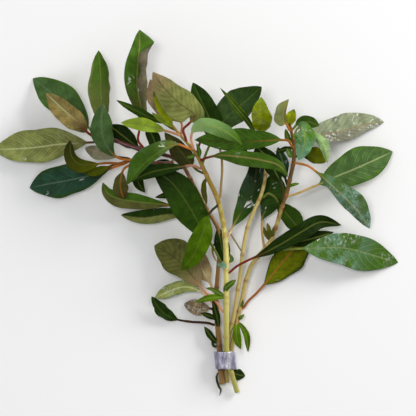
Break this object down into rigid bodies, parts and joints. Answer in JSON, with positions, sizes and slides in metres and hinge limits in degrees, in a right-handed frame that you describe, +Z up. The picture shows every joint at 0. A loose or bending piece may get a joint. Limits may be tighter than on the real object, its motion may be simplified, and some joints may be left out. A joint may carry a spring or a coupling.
{
  "type": "tied bunch of ludwigia stems",
  "caption": "Bunch of cut Ludwigia stems with pointed green leaves, held near the cut ends by a soft metal strip and lying flat.",
  "frame": {"origin": "middle of the flat underside of the metal strip, on the surface that the bunch lies on", "axes": "+Z up from the surface, +Y along the stems from the cut ends to the tips, +X to the right seen from above"},
  "size_m": [0.243, 0.2194, 0.0538],
  "materials": {
    "stem_green": "satin",
    "stem_tan": "satin",
    "stem_red": "satin",
    "leaf_dark": "satin",
    "leaf_mid": "satin",
    "leaf_bright": "satin",
    "leaf_lime": "satin",
    "leaf_underside": "satin",
    "leaf_rosy": "satin",
    "leaf_bluish": "gloss",
    "strip_metal": "satin"
  },
  "bodies": {
    "root": {"plant_weight": "strip_metal", "main_stem": "stem_green", "left_stem": "stem_red", "left_branch": "stem_red", "middle_stem": "stem_tan", "right_stem": "stem_tan", "main_leaf_lime": "leaf_lime", "main_leaf_narrow": "leaf_dark", "main_leaf_olive": "leaf_underside", "main_leaf_rosy": "leaf_rosy", "main_leaf_arched": "leaf_mid", "main_leaf_top": "leaf_dark", "main_leaf_back": "leaf_dark", "main_leaf_long": "leaf_mid", "main_leaf_front": "leaf_mid", "main_leaf_low": "leaf_dark", "main_leaf_hanging": "leaf_bright", "main_leaf_shaded": "leaf_dark", "main_leaf_outer": "leaf_dark", "main_leaf_round": "leaf_underside", "main_leaf_broad": "leaf_mid", "main_leaf_under": "leaf_dark", "main_leaf_sleek": "leaf_dark", "left_leaf_far": "leaf_underside", "left_leaf_upper": "leaf_dark", "left_leaf_young": "leaf_rosy", "left_leaf_upright": "leaf_mid", "left_leaf_shade": "leaf_dark", "left_leaf_tall": "leaf_dark", "left_leaf_folded": "leaf_mid", "left_leaf_boat": "leaf_dark", "left_leaf_dusk": "leaf_dark", "left_leaf_tan": "leaf_rosy", "left_leaf_wet": "leaf_lime", "left_leaf_stray": "leaf_dark", "left_leaf_brown": "leaf_rosy", "branch_leaf_front": "leaf_mid", "branch_leaf_dark": "leaf_dark", "branch_leaf_grey": "leaf_rosy", "branch_leaf_fallen": "leaf_rosy", "branch_leaf_yellow": "leaf_lime", "branch_leaf_twisted": "leaf_lime", "middle_leaf_curved": "leaf_mid", "middle_leaf_lime": "leaf_lime", "middle_leaf_edge": "leaf_mid", "right_leaf_large": "leaf_mid", "right_leaf_wet": "leaf_bright", "right_leaf_shade": "leaf_dark", "right_leaf_twisted": "leaf_bluish", "right_leaf_behind": "leaf_dark", "right_leaf_deep": "leaf_bluish", "right_leaf_open": "leaf_dark", "right_leaf_bent": "leaf_bluish", "right_leaf_silver": "leaf_underside", "right_leaf_crown": "leaf_mid", "right_leaf_pale": "leaf_lime", "right_leaf_olive": "leaf_mid", "right_leaf_north": "leaf_dark", "right_leaf_ashen": "leaf_rosy", "right_leaf_wide": "leaf_mid"}
  },
  "joints": []
}
